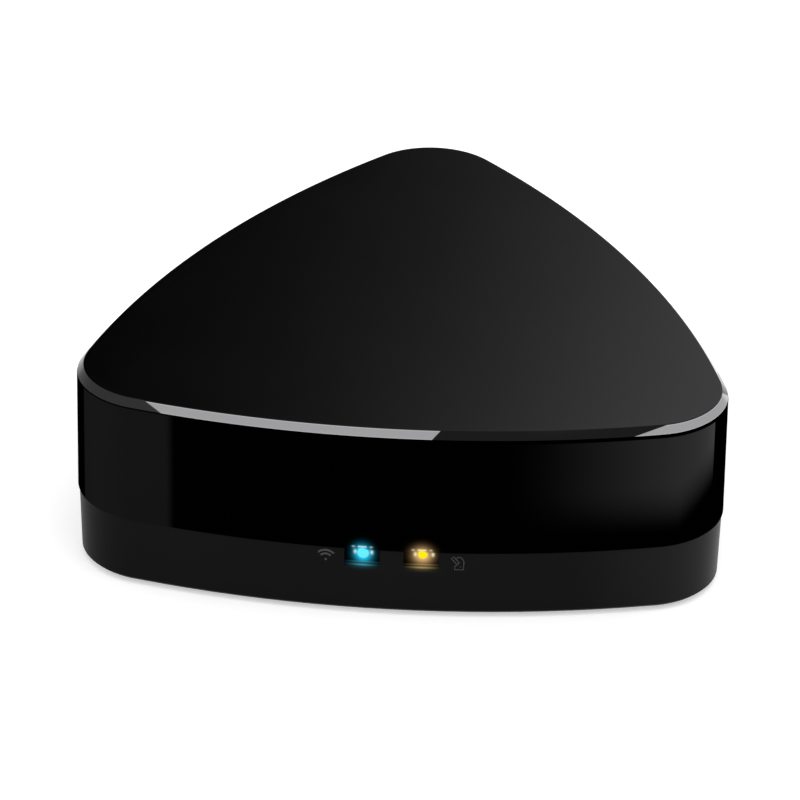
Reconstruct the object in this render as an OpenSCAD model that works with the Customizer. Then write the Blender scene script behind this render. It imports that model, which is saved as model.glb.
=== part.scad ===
// Smart infrared blaster: a low hub on a rounded triangle, with its flat side to the front.
// A matt base tray carries the circuit board. A smoked window shell closes it all round and above,
// and a polished plate is bonded on top. Six emitters look outwards through the window shell.
// Front is -Y, the rear corner is +Y, and the feet stand on z = 0. All lengths are millimetres.

/* [Outline] */
// Width of the whole hub over its two front corners
body_w = 119.1; // [112:0.1:132]
// Radius of the three corners
corner_r = 15.1; // [13:0.1:18]
// From the middle to the centre of each long side's arc; more makes the sides flatter
side_distance = 142; // [110:1:220]

/* [Heights] */
// How far the feet lift the base off the table
foot_stand = 0.8; // [0.5:0.1:2]
// Height of the matt base
base_h = 13.1; // [12:0.1:18]
// Height of the smoked window band
band_h = 23.4; // [18:0.1:32]
// Thickness of the bonding sheet, seen as a dark line under the top plate
adhesive_t = 0.2; // [0.1:0.05:0.4]
// Thickness of the top plate
plate_t = 1.45; // [1:0.05:2.5]

/* [Base] */
// How far the base's rim stands in from the window band
base_step = 0.3; // [0:0.05:1]
// How much further in the base is at its foot than at its rim
base_draft_w = 0.4; // [0.1:0.05:1.5]
// Bevel along the base's lower edge
base_bevel = 0.6; // [0.2:0.1:1.2]
// Wall of the base
wall_t = 1.9; // [1.5:0.1:2.4]
// Floor of the base
floor_t = 2.2; // [2:0.1:3]

/* [Window shell] */
// Wall of the window band
band_t = 2; // [1.6:0.1:2.6]
// Deck under the top plate
deck_t = 2; // [1.5:0.1:3]
// Depth of the lip that locates the shell inside the base
lip_h = 2; // [1.2:0.1:3]
// Thickness of that lip
lip_t = 1.2; // [0.8:0.1:1.4]
// Gap between the lip and the base wall at the rim
lip_gap = 0.2; // [0.15:0.05:0.3]
// Radius of each screw tower
tower_r = 3.6; // [3.2:0.1:4.2]

/* [Top plate] */
// Width of the polished bevel, seen from above
plate_bevel = 1.2; // [0.4:0.1:2]
// From the plate's edge to the bonding sheet
adhesive_inset = 3; // [2:0.1:6]
// Width of the bonding sheet
adhesive_w = 6; // [3:0.1:10]

/* [Feet] */
// Radius of each rubber foot
foot_r = 6; // [5:0.1:8]
// Depth of the recess that holds each foot
foot_sink = 0.8; // [0.4:0.1:1.2]
// Bevel round a foot's lower edge
foot_bevel = 0.3; // [0.1:0.1:0.5]

/* [Circuit board] */
// Height of the standoffs under the board
standoff_h = 4.6; // [4.4:0.1:6]
// Thickness of the board
board_t = 1.6; // [1:0.1:2]
// From the outline in to the board's edge
board_inset = 4; // [3.9:0.1:6]
// From the front's reach in to each board screw
board_screw_inset = 16.5; // [14:0.5:20]

/* [Emitters] */
// Number of emitters round the board
emitters = 6; // [6:1:6]
// From the front's reach in to each emitter's tip
emitter_inset = 1.5; // [0.5:0.5:4]
// Height of the emitters' axes above the board
emitter_rise = 9; // [6:0.5:14]
// Radius of an emitter's body
emitter_r = 2.5; // [2:0.1:3]
// Length of an emitter's body
emitter_l = 8.6; // [7:0.1:10]
// Thickness of a lead
lead_t = 0.5; // [0.4:0.05:0.6]
// Spacing of an emitter's leads
lead_pitch = 2.54; // [2:0.01:3]
// From the front's reach in to the middle of the receiver that learns codes
receiver_inset = 10.5; // [8.5:0.1:14]

/* [Status lights] */
// From the middle to each status light
status_x = 5.4; // [4.5:0.1:8]
// Width of the notch in the rim before each light
notch_w = 6.5; // [5:0.1:7]
// Depth of that notch below the rim
notch_h = 3.75; // [3:0.05:4]

/* [Power inlet] */
// Width of the recess for the power plug
plug_w = 12.4; // [11:0.1:14]
// Height of that recess
plug_h = 7.4; // [7:0.1:8]
// Depth of the recess at the rear corner
plug_d = 4.2; // [4.1:0.1:5]
// Width of the socket's metal shell
socket_w = 7.5; // [7:0.1:8]
// Height of that shell
socket_h = 2.6; // [2.3:0.1:2.8]
// Length of that shell
socket_l = 5.6; // [5:0.1:6]

/* [Reset switch] */
// Sideways place of the reset switch
reset_x = 13; // [11:0.5:16]
// From the plug recess forward to the reset switch
reset_back = 22; // [20:0.5:28]
// Radius of the pinhole in the floor
pinhole_r = 0.8; // [0.6:0.1:1.2]
// Side of the switch's square body
switch_w = 6; // [5:0.1:7]
// Height of the switch's body
switch_h = 2.6; // [2.4:0.1:3]
// Travel of the plunger
press_travel = 0.25; // [0.2:0.01:0.35]

/* [Wall keyholes] */
// From the hub's widest point in to each keyhole
keyhole_inset = 29.55; // [26:0.05:34]
// Radius of the hole that lets a screw's head in
keyhole_r = 3.75; // [3:0.05:4.5]
// Half width of the slot that holds the screw's shank
slot_r = 1.8; // [1.5:0.1:2]
// How far the screw slides along the slot
slot_slide = 8; // [6:0.5:10]

/* [Case screws] */
// Radius of the case screws' shanks
case_screw_r = 1.45; // [1.2:0.05:1.6]
// Length of the case screws' shanks
case_screw_l = 9; // [7:0.5:14]
// Radius of the case screws' heads
case_head_r = 2.6; // [2.4:0.1:3]

/* [Hidden] */

// Cuts run this far past the solid they open
overrun = 1;
// Each corner stands this much proud of the sides' arcs, so that the arcs cross it cleanly
corner_lap = 0.04;
// Clearance of a moulded part that slides over or past another
slip_gap = 0.3;
// Clearance of a screw in its pilot hole, and of a plunger in its bore
fine_gap = 0.05;

// Heights of the joints between the layers
z_base = foot_stand;
z_floor = z_base + floor_t;
z_rim = z_base + base_h;
z_shell_top = z_rim + band_h;
z_deck = z_shell_top - deck_t;
z_plate = z_shell_top + adhesive_t;
z_top = z_plate + plate_t;
z_board = z_floor + standoff_h;
z_board_top = z_board + board_t;

// Turn from a corner to the next one, and from a corner to the middle of a side
corner_turn = 120;
side_turn = corner_turn / 2;
// From the middle of the triangle to the centre of each rounded corner
corner_distance = (body_w / 2 - corner_r - corner_lap) / sin(side_turn);

// Directions: corner 0 is the rear one, and side 0 is the front
function corner_angle(k) = 90 + corner_turn * k;
function side_angle(k) = 270 + corner_turn * k;
function polar(reach, angle) = reach * [cos(angle), sin(angle)];
function corner_centre(k) = polar(corner_distance, corner_angle(k));
function side_centre(k) = -polar(side_distance, side_angle(k));

// The sides' arcs run tangent into the corners
half_side = atan2(corner_distance * sin(side_turn),
                  side_distance + corner_distance * cos(side_turn));
half_corner = side_turn - half_side;
side_r = corner_distance * sin(side_turn) / sin(half_side) + corner_r;
// The whole part is centred on its own box
front_reach = side_r - side_distance;
rear_reach = corner_distance + corner_r + corner_lap;
middle_y = (front_reach - rear_reach) / 2;
// What is set from the edges follows the outline
board_screw_distance = front_reach - board_screw_inset;
emitter_tip = front_reach - emitter_inset;
receiver_y = -(front_reach - receiver_inset);

// The base's outline at a height, as an inset from the window band's
function base_inset(z) = base_step + base_draft_w * (z_rim - z) / base_h;
lip_inset = base_step + wall_t + lip_gap;
skirt_h = notch_h + lip_gap * 2;

// Bosses for the case screws
head_pocket_h = 2.2;
boss_web = 2;
boss_wall = 2;
case_head_h = 2;
z_pocket = z_base + foot_sink + head_pocket_h;
z_boss = z_pocket + boss_web;
pilot_extra = 1.5;

// Standoffs and board screws
standoff_r = 3;
board_screw_r = 1;
board_screw_l = 3.8;
board_head_r = 2;
board_head_h = 1.4;
pilot_floor = 0.4;

// Power inlet
recess_wall = 1.6;
y_recess = rear_reach - plug_d;
z_socket = z_board - socket_h / 2;
z_recess = z_socket - plug_h / 2;
reset_y = y_recess - reset_back;
socket_skin = 0.3;
socket_taper = 1;

// Keyholes
keyhole_wall = 1.2;
keyhole_room = 2.8;
keyhole_side_gap = 0.5;
keyhole_x = body_w / 2 - keyhole_inset;
keyhole_y = -12;

// Ribs that stiffen the screw towers under the deck and the bosses on the floor
rib_t = 1.2;
tower_rib_w = 5;
tower_rib_h = 9;
tower_ribs = 4;
boss_rib_w = 4;
boss_rib_drop = 0.8;

// The outline's layer between two heights, with an inset at its foot and at its top
module layer(z0, z1, inset0 = 0, inset1 = 0) {
  h = z1 - z0;
  mean_r = corner_r - (inset0 + inset1) / 2;
  translate([0, 0, z0]) {
    difference() {
      intersection_for (k = [0:2])
        translate(side_centre(k))
          cylinder(r1 = side_r - inset0, r2 = side_r - inset1, h = h, $fn = 720);
      for (k = [0:2])
        rotate(corner_angle(k))
          translate([corner_distance + mean_r * cos(half_corner), -corner_distance, -overrun])
            cube([corner_distance, 2 * corner_distance, h + 2 * overrun]);
    }
    for (k = [0:2])
      translate(corner_centre(k))
        cylinder(r1 = corner_r - inset0 + corner_lap, r2 = corner_r - inset1 + corner_lap,
                 h = h, $fn = 96);
  }
}

// Everything is drawn about the triangle's middle and then set on the part's own box
module placed() {
  translate([0, middle_y, 0]) children();
}

module post(centre, z0, z1, r, sides = 48) {
  translate([centre[0], centre[1], z0]) cylinder(r = r, h = z1 - z0, $fn = sides);
}

// A block centred on x, from a y to another and from a z to another
module block(x, w, y0, y1, z0, z1) {
  translate([x - w / 2, y0, z0]) cube([w, y1 - y0, z1 - z0]);
}

// A chip-like block centred on a place of the board, standing on a height
module chip(centre, size, z) {
  translate([centre[0] - size[0] / 2, centre[1] - size[1] / 2, z]) cube(size);
}

// Outer form of the base: a drafted tray with a bevelled foot
module base_block() {
  z_bevel = z_base + base_bevel;
  layer(z_base, z_bevel, base_inset(z_base) + base_bevel, base_inset(z_bevel));
  layer(z_bevel, z_rim, base_inset(z_bevel), base_step);
}

// Slot with round ends along y, from the entry hole towards the front
module keyhole_run(x, r, z0, z1) {
  post([x, keyhole_y], z0, z1, r);
  post([x, keyhole_y - slot_slide], z0, z1, r);
  block(x, 2 * r, keyhole_y - slot_slide, keyhole_y, z0, z1);
}

module keyhole_cup(x) {
  z_room = z_floor + keyhole_room;
  difference() {
    keyhole_run(x, keyhole_r + keyhole_side_gap + keyhole_wall, z_base + base_bevel,
                z_room + keyhole_wall);
    keyhole_run(x, keyhole_r + keyhole_side_gap, z_floor, z_room);
  }
}

// Walls round the plug recess, inside the outline
module recess_walls() {
  intersection() {
    base_block();
    block(0, plug_w + 2 * recess_wall, y_recess - recess_wall, rear_reach,
          z_base + base_bevel, z_recess + plug_h + recess_wall);
  }
}

// Profile of the socket's metal shell, wide side up, grown or shrunk by a margin
module socket_profile(margin) {
  w = socket_w / 2 + margin;
  h = socket_h / 2 + margin;
  polygon([
    [-w, h], [-w, 0], [-w + socket_taper, -h],
    [w - socket_taper, -h], [w, 0], [w, h]
  ]);
}

// The profile run along y between two places
module socket_run(margin, y0, y1) {
  translate([0, y1, z_socket])
    rotate([90, 0, 0])
      linear_extrude(y1 - y0) socket_profile(margin);
}

// Triangular rib that leans on a post of a radius: its long side lies at z0 and its tip at z1
module gusset(post_r, w, z0, z1) {
  rotate([90, 0, 0])
    translate([0, 0, -rib_t / 2])
      linear_extrude(rib_t)
        polygon([[post_r / 2, z0], [post_r + w, z0], [post_r, z1], [post_r / 2, z1]]);
}

module base_shell() {
  tube_r = pinhole_r + keyhole_wall;
  tube_h = 0.3;
  boss_r = case_head_r + slip_gap + boss_wall;
  color("#1c1c1d") placed() difference() {
    union() {
      difference() {
        base_block();
        layer(z_floor, z_rim + overrun, base_inset(z_floor) + wall_t,
              base_inset(z_rim + overrun) + wall_t);
      }
      recess_walls();
      for (k = [0:2]) {
        post(corner_centre(k), z_base + base_bevel, z_boss, boss_r);
        translate(corner_centre(k))
          for (side = [-1, 1])
            rotate(corner_angle(k) + side * corner_turn)
              gusset(boss_r, boss_rib_w, z_base + base_bevel, z_boss - boss_rib_drop);
        post(polar(board_screw_distance, side_angle(k)), z_base + base_bevel, z_board, standoff_r);
      }
      for (side = [-1, 1]) keyhole_cup(side * keyhole_x);
      post([reset_x, reset_y], z_base + base_bevel, z_floor + tube_h, tube_r);
    }
    for (k = [0:2]) {
      post(corner_centre(k), z_base - overrun, z_base + foot_sink, foot_r + slip_gap / 2, 96);
      post(corner_centre(k), z_base, z_pocket, case_head_r + slip_gap);
      post(corner_centre(k), z_base, z_boss + overrun, case_screw_r + slip_gap / 2);
      post(polar(board_screw_distance, side_angle(k)), z_floor + pilot_floor, z_board + overrun,
           board_screw_r + fine_gap);
    }
    for (side = [-1, 1]) {
      post([side * keyhole_x, keyhole_y], z_base - overrun, z_floor + overrun, keyhole_r);
      keyhole_run(side * keyhole_x, slot_r, z_base - overrun, z_floor + overrun);
      block(side * status_x, notch_w, -front_reach - overrun, -front_reach + board_inset,
            z_rim - notch_h, z_rim + overrun);
    }
    block(0, plug_w, y_recess, rear_reach + overrun, z_recess, z_recess + plug_h);
    socket_run(slip_gap / 2, y_recess - recess_wall - overrun, y_recess + overrun);
    post([reset_x, reset_y], z_base - overrun, z_board, pinhole_r);
  }
}

module window_shell() {
  lip_in = lip_inset + lip_t;
  color("#09090a") placed() {
    difference() {
      union() {
        layer(z_rim, z_shell_top);
        difference() {
          layer(z_rim - lip_h, z_rim, lip_inset, lip_inset);
          block(0, plug_w + 2 * recess_wall + 2 * slip_gap, y_recess - recess_wall - slip_gap,
                rear_reach, z_rim - lip_h - overrun, z_rim);
        }
        intersection() {
          layer(z_rim - skirt_h, z_rim, lip_inset, lip_inset);
          for (side = [-1, 1])
            block(side * status_x, notch_w + 2 * lip_t, -front_reach, -front_reach + board_inset,
                  z_rim - skirt_h, z_rim);
        }
      }
      layer(z_rim - skirt_h - overrun, z_rim + lip_t + overrun, lip_in, lip_in);
      layer(z_rim + lip_t, z_deck, band_t, band_t);
    }
    for (k = [0:2]) difference() {
      union() {
        post(corner_centre(k), z_boss, z_deck, tower_r);
        translate(corner_centre(k))
          for (n = [0:tower_ribs - 1])
            rotate(corner_angle(k) + n * 360 / tower_ribs)
              gusset(tower_r, tower_rib_w, z_deck, z_deck - tower_rib_h);
      }
      post(corner_centre(k), z_boss - overrun, z_pocket + case_screw_l + pilot_extra,
           case_screw_r + fine_gap);
    }
  }
}

module top_plate() {
  color("#151516") placed() layer(z_plate, z_top, 0, plate_bevel);
}

module plate_adhesive() {
  color("#2b2b2b") placed() difference() {
    layer(z_shell_top, z_plate, adhesive_inset, adhesive_inset);
    layer(z_shell_top - overrun, z_plate + overrun, adhesive_inset + adhesive_w,
          adhesive_inset + adhesive_w);
  }
}

module foot(k) {
  color("#303031") placed() translate(corner_centre(k)) {
    cylinder(r1 = foot_r - foot_bevel, r2 = foot_r, h = foot_bevel, $fn = 96);
    translate([0, 0, foot_bevel])
      cylinder(r = foot_r, h = z_base + foot_sink - foot_bevel, $fn = 96);
  }
}

// Pan-head screw that points up from its head
module screw(head_r, head_h, shank_r, shank_l) {
  cross_w = head_r / 4;
  difference() {
    translate([0, 0, -head_h]) cylinder(r = head_r, h = head_h, $fn = 48);
    for (turn = [0, 90])
      rotate(turn)
        translate([-head_r * 0.6, -cross_w / 2, -head_h - overrun])
          cube([head_r * 1.2, cross_w, head_h / 2 + overrun]);
  }
  cylinder(r = shank_r, h = shank_l, $fn = 48);
}

module case_screws() {
  color("#8f9296") placed()
    for (k = [0:2])
      translate([corner_centre(k)[0], corner_centre(k)[1], z_pocket])
        screw(case_head_r, case_head_h, case_screw_r, case_screw_l);
}

module board_screws() {
  color("#8f9296") placed()
    for (k = [0:2])
      translate(concat(polar(board_screw_distance, side_angle(k)), z_board_top))
        rotate([180, 0, 0])
          screw(board_head_r, board_head_h, board_screw_r, board_screw_l + board_t);
}

// Emitters stand midway between the corners' and the sides' directions
function emitter_angle(n) = n * 360 / emitters;
lead_run = 2;
lead_tail = 1;
leg_reach = emitter_tip - emitter_l - lead_run;
lead_hole_r = lead_t * 0.9;
collar_w = 0.4;
collar_t = 1;

module main_board() {
  color("#1e5c3a") placed() difference() {
    layer(z_board, z_board_top, board_inset, board_inset);
    for (k = [0:2]) {
      post(corner_centre(k), z_board - overrun, z_board_top + overrun, tower_r + slip_gap);
      post(polar(board_screw_distance, side_angle(k)), z_board - overrun, z_board_top + overrun,
           board_screw_r + slip_gap);
    }
    block(0, plug_w + 2 * recess_wall + 2 * slip_gap, y_recess - recess_wall - slip_gap,
          rear_reach, z_board - overrun, z_board_top + overrun);
    for (n = [0:emitters - 1])
      rotate(emitter_angle(n))
        for (side = [-1, 1])
          post([leg_reach, side * lead_pitch / 2], z_board - overrun, z_board_top + overrun,
               lead_hole_r, 24);
  }
}

// Five millimetre emitter lying on its side, on two leads bent down through the board
module ir_emitter(n) {
  z_axis = z_board_top + emitter_rise;
  color("#b9c2d6") placed() rotate(emitter_angle(n)) {
    translate([emitter_tip - emitter_l, 0, z_axis]) rotate([0, 90, 0]) {
      cylinder(r = emitter_r + collar_w, h = collar_t, $fn = 48);
      cylinder(r = emitter_r, h = emitter_l - emitter_r, $fn = 48);
      translate([0, 0, emitter_l - emitter_r]) sphere(r = emitter_r, $fn = 48);
    }
    for (side = [-1, 1]) translate([0, side * lead_pitch / 2, 0]) {
      translate([leg_reach - lead_t / 2, -lead_t / 2, z_axis - lead_t / 2])
        cube([lead_run + lead_t, lead_t, lead_t]);
      translate([leg_reach - lead_t / 2, -lead_t / 2, z_board - lead_tail])
        cube([lead_t, lead_t, z_axis - z_board + lead_tail]);
    }
  }
}

// Receiver module with a round lens, standing on three leads behind the front band
receiver_size = [6, 4, 7];
receiver_rise = 3;
receiver_lens_r = 2.4;

module ir_receiver() {
  z_body = z_board_top + receiver_rise;
  color("#1a1a1e") placed() {
    chip([0, receiver_y], receiver_size, z_body);
    translate([0, receiver_y - receiver_size[1] / 2, z_body + receiver_size[2] / 2])
      sphere(r = receiver_lens_r, $fn = 48);
    for (n = [-1:1])
      block(n * lead_pitch * 0.8, lead_t, receiver_y - lead_t / 2, receiver_y + lead_t / 2,
            z_board_top, z_body);
  }
}

// Radio module: a thin board with a metal can, its aerial end towards the rear corner
wifi_back = 35.2;
wifi_at = [0, y_recess - wifi_back];
wifi_size = [18, 25.5, 0.8];
shield_size = [16, 17, 2.2];
shield_shift = 3.4;
shield_skin = 0.3;
// The aerial is a folded trace that stands a little above the board
aerial_runs = 9;
aerial_pitch = 1.8;
aerial_w = 0.7;
aerial_rise = 0.1;
aerial_l = 5;
aerial_edge = 0.6;

module wifi_board() {
  z_face = z_board_top + wifi_size[2];
  y1 = wifi_at[1] + wifi_size[1] / 2 - aerial_edge;
  y0 = y1 - aerial_l;
  color("#23263a") placed() {
    chip(wifi_at, wifi_size, z_board_top);
    for (n = [0:aerial_runs - 1]) {
      x = (n - (aerial_runs - 1) / 2) * aerial_pitch;
      block(x, aerial_w, y0, y1, z_face - aerial_rise, z_face + aerial_rise);
      if (n < aerial_runs - 1)
        block(x + aerial_pitch / 2, aerial_pitch + aerial_w, n % 2 == 0 ? y1 - aerial_w : y0,
              n % 2 == 0 ? y1 : y0 + aerial_w, z_face - aerial_rise, z_face + aerial_rise);
    }
  }
}

module wifi_shield() {
  z_can = z_board_top + wifi_size[2];
  inner = shield_size - [2 * shield_skin, 2 * shield_skin, shield_skin];
  at = wifi_at - [0, shield_shift];
  color("#b4b6b8") placed() difference() {
    chip(at, shield_size, z_can);
    chip(at, inner, z_can);
  }
}

// Packages on the board, each with its leads
controller_at = [0, -4];
controller_size = [7, 7, 1.4];
controller_pins = 8;
pin_t = 0.35;
pin_reach = 1;

module controller_chip() {
  color("#222224") placed() {
    chip(controller_at, controller_size, z_board_top);
    for (turn = [0, 90], row = [0:controller_pins - 1])
      translate(controller_at) rotate(turn)
        translate([(row - (controller_pins - 1) / 2) * controller_size[0] / (controller_pins + 1),
                   0, z_board_top])
          translate([-pin_t / 2, -controller_size[1] / 2 - pin_reach, 0])
            cube([pin_t, controller_size[1] + 2 * pin_reach, pin_t]);
  }
}

crystal_at = [12, -4];
crystal_r = 2.3;
crystal_span = 6;
crystal_h = 3.5;

module crystal() {
  color("#c3c5c7") placed() {
    for (side = [-1, 1])
      post(crystal_at + [0, side * crystal_span / 2], z_board_top, z_board_top + crystal_h, crystal_r);
    chip(crystal_at, [2 * crystal_r, crystal_span, crystal_h], z_board_top);
  }
}

// The regulator and its inductor lie either side of the rear screw, a set way in from the inlet
supply_x = 11;
supply_back = 17.2;
regulator_at = [supply_x, y_recess - supply_back];
regulator_size = [6.5, 3.5, 1.7];
tab_w = 3;
tab_t = 0.4;

module regulator_chip() {
  color("#242426") placed() {
    chip(regulator_at, regulator_size, z_board_top);
    chip(regulator_at, [tab_w, regulator_size[1] + 4 * pin_reach, tab_t], z_board_top);
  }
}

inductor_at = [-supply_x, y_recess - supply_back];
inductor_size = [6, 6, 3];
inductor_core_r = 2.2;
inductor_core_rise = 0.3;

module power_inductor() {
  color("#3a3a3c") placed() {
    chip(inductor_at, inductor_size, z_board_top);
    post(inductor_at, z_board_top, z_board_top + inductor_size[2] + inductor_core_rise,
         inductor_core_r);
  }
}

capacitor_x = 17;
capacitor_step = 8;
capacitor_at = [-capacitor_x, polar(board_screw_distance, side_angle(2))[1] - capacitor_step];
capacitor_r = 3.15;
capacitor_h = 7.7;
capacitor_foot = [6.8, 6.8, 1];

module bulk_capacitor() {
  color("#a9abad") placed() {
    chip(capacitor_at, capacitor_foot, z_board_top);
    post(capacitor_at, z_board_top, z_board_top + capacitor_h, capacitor_r);
  }
}

transistor_pitch = 12;
transistor_y = -16;
transistor_size = [3, 1.4, 1.1];

module emitter_transistors() {
  color("#222224") placed()
    for (n = [-1:1]) {
      chip([n * transistor_pitch, transistor_y], transistor_size, z_board_top);
      chip([n * transistor_pitch, transistor_y],
           [pin_t * 2, transistor_size[1] + 2 * pin_t * 2, pin_t], z_board_top);
    }
}

// Status light: a side-looking lamp at the board's front edge, behind the shell's skirt
status_size = [3.4, 1.2, 2.3];
status_lens_r = 1.1;

module status_led(side) {
  y_front = -front_reach + board_inset + slip_gap;
  color("#e9e6d8") placed() {
    block(side * status_x, status_size[0], y_front + status_lens_r / 2,
          y_front + status_lens_r / 2 + status_size[1], z_board_top, z_board_top + status_size[2]);
    translate([side * status_x, y_front + status_lens_r, z_board_top + status_size[2] / 2])
      sphere(r = status_lens_r, $fn = 48);
  }
}

// One series resistor for each emitter, inwards of its leads, with plated ends
resistor_size = [1.6, 0.8, 0.45];
resistor_cap_l = 0.3;
resistor_cap_t = 0.05;
resistor_back = 4;

module chip_resistors() {
  cap_size = [resistor_cap_l, resistor_size[1] + 2 * resistor_cap_t, resistor_size[2] + resistor_cap_t];
  color("#4a4b50") placed()
    for (n = [0:emitters - 1])
      rotate(emitter_angle(n)) {
        chip([leg_reach - resistor_back, 0], resistor_size, z_board_top);
        for (side = [-1, 1])
          chip([leg_reach - resistor_back + side * (resistor_size[0] - resistor_cap_l) / 2, 0],
               cap_size, z_board_top);
      }
}

module usb_socket_shell() {
  color("#b8babc") placed() difference() {
    socket_run(0, y_recess - socket_l, y_recess);
    socket_run(-socket_skin, y_recess - socket_l - overrun, y_recess + overrun);
  }
}

// Moulded insert that closes the socket's rear and carries the contact tongue
insert_gap = 0.02;
insert_l = 1.4;
tongue_w = 3.7;
tongue_t = 0.6;
tongue_short = 0.7;

// Five flat contacts, which lie on the tongue's lower face and run back through the insert
contacts = 5;
contact_pitch = 0.65;
contact_w = 0.4;
contact_t = 0.15;
contact_short = 0.3;
contact_tail = 0.4;

module contact_runs(margin) {
  z_face = z_socket - tongue_t / 2;
  for (n = [0:contacts - 1])
    block((n - (contacts - 1) / 2) * contact_pitch, contact_w + 2 * margin,
          y_recess - socket_l - contact_tail, y_recess - tongue_short - contact_short,
          z_face - contact_t - margin, z_face);
}

module usb_socket_insert() {
  color("#29292b") placed() difference() {
    union() {
      socket_run(-socket_skin - insert_gap, y_recess - socket_l, y_recess - socket_l + insert_l);
      block(0, tongue_w, y_recess - socket_l, y_recess - tongue_short, z_socket - tongue_t / 2,
            z_socket + tongue_t / 2);
    }
    contact_runs(insert_gap);
  }
}

// Behind the socket each contact turns up to the board
module usb_contacts() {
  y_tail = y_recess - socket_l - contact_tail;
  color("#c9a64a") placed() {
    contact_runs(0);
    for (n = [0:contacts - 1])
      block((n - (contacts - 1) / 2) * contact_pitch, contact_w, y_tail, y_tail + contact_t,
            z_socket - tongue_t / 2 - contact_t, z_board);
  }
}

// Reset switch, hung under the board with its plunger down towards the pinhole
flange_r = 2.2;
flange_t = 0.5;
plunger_r = 1.7;
plunger_proud = 0.9;
cover_t = 0.3;
cover_skirt = 1.8;
rest_gap = 0.02;
dome_room = 0.3;
z_switch = z_board - switch_h;

module reset_switch_body() {
  cavity_h = rest_gap + flange_t + press_travel + dome_room;
  color("#232325") placed() difference() {
    chip([reset_x, reset_y], [switch_w, switch_w, switch_h], z_switch);
    post([reset_x, reset_y], z_switch - overrun, z_switch + cavity_h, flange_r + 2 * fine_gap);
  }
}

module reset_switch_cover() {
  color("#b2b4b6") placed() difference() {
    union() {
      chip([reset_x, reset_y], [switch_w + 2 * cover_t, switch_w, cover_t], z_switch - cover_t);
      for (side = [-1, 1])
        chip([reset_x + side * (switch_w + cover_t) / 2, reset_y],
             [cover_t, switch_w / 2, cover_skirt + cover_t], z_switch - cover_t);
    }
    post([reset_x, reset_y], z_switch - cover_t - overrun, z_switch + overrun, plunger_r + fine_gap);
  }
}

module reset_plunger() {
  z_flange = z_switch + rest_gap;
  color("#e8e4da") placed() {
    post([reset_x, reset_y], z_flange, z_flange + flange_t, flange_r);
    post([reset_x, reset_y], z_switch - cover_t - plunger_proud, z_flange, plunger_r);
  }
}

base_shell();
window_shell();
top_plate();
plate_adhesive();
foot(0);  // foot_rear
foot(1);  // foot_left
foot(2);  // foot_right
case_screws();
board_screws();
main_board();
ir_emitter(0);  // ir_emitter_1
ir_emitter(1);  // ir_emitter_2
ir_emitter(2);  // ir_emitter_3
ir_emitter(3);  // ir_emitter_4
ir_emitter(4);  // ir_emitter_5
ir_emitter(5);  // ir_emitter_6
ir_receiver();
wifi_board();
wifi_shield();
controller_chip();
crystal();
regulator_chip();
power_inductor();
bulk_capacitor();
emitter_transistors();
status_led(-1);  // status_led_network
status_led(1);  // status_led_remote
chip_resistors();
usb_socket_shell();
usb_socket_insert();
usb_contacts();
reset_switch_body();
reset_switch_cover();
reset_plunger();
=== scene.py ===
import math
from collections import namedtuple
from contextlib import contextmanager

import bmesh
import bpy
from mathutils import Matrix, Vector


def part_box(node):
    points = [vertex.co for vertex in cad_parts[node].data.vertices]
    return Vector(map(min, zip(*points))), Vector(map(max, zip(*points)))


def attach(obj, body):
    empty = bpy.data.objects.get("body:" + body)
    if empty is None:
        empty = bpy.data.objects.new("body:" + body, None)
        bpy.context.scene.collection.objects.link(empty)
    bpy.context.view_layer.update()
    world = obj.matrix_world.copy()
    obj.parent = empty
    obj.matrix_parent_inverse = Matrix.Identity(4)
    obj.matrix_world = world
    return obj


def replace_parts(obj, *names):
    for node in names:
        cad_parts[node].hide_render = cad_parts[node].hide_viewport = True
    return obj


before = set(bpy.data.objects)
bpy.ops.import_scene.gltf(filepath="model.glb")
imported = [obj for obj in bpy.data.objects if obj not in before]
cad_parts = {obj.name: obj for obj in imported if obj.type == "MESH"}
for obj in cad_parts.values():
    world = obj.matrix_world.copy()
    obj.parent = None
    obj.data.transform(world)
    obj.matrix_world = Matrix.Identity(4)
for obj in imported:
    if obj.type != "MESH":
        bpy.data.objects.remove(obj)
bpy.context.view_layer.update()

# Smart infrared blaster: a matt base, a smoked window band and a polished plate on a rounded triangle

MM = 0.001
HOUSING = "housing"
BLACK = (0.0, 0.0, 0.0)
WINDOW_LOW, WINDOW_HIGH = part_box("window_shell")
PLATE_LOW, PLATE_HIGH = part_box("top_plate")
BASE_LOW, BASE_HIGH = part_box("base_shell")

# The rounded triangle: three corner arcs, and three long side arcs that run tangent into them
CORNER_R = 15.1 * MM
CORNER_LAP = 0.04 * MM
SIDE_DISTANCE = 142 * MM
CORNER_DISTANCE = (PLATE_HIGH.x - CORNER_R - CORNER_LAP) / math.cos(math.radians(30))
SIDE_R = math.hypot(CORNER_DISTANCE * math.sin(math.radians(60)),
                    SIDE_DISTANCE + CORNER_DISTANCE / 2) + CORNER_R
FRONT_REACH = SIDE_R - SIDE_DISTANCE
MIDDLE_Y = WINDOW_LOW.y + FRONT_REACH
CORNER_STEPS = 36
SIDE_STEPS = 36

# A third of the way round the triangle, in degrees: one side and its corner
THIRD = 120

# Levels, walls and towers of the layers, and how far the base stands in from the band
Z_RIM = BASE_HIGH.z
Z_SHELL_TOP = WINDOW_HIGH.z
Z_PLATE = PLATE_LOW.z
Z_TOP = PLATE_HIGH.z
DECK_T = 2 * MM
DECK_EDGE_W = 4 * MM
BAND_T = 2 * MM
LIP_H = 2 * MM
LIP_INSET = 2.4 * MM
LIP_T = 1.2 * MM
TOWER_R = 3.6 * MM
TOWER_FOOT_Z = 5.8 * MM
TOWER_STEPS = 48
BASE_INSET_RIM = 0.3 * MM
BASE_INSET_DRAFT = 0.4 * MM

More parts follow.
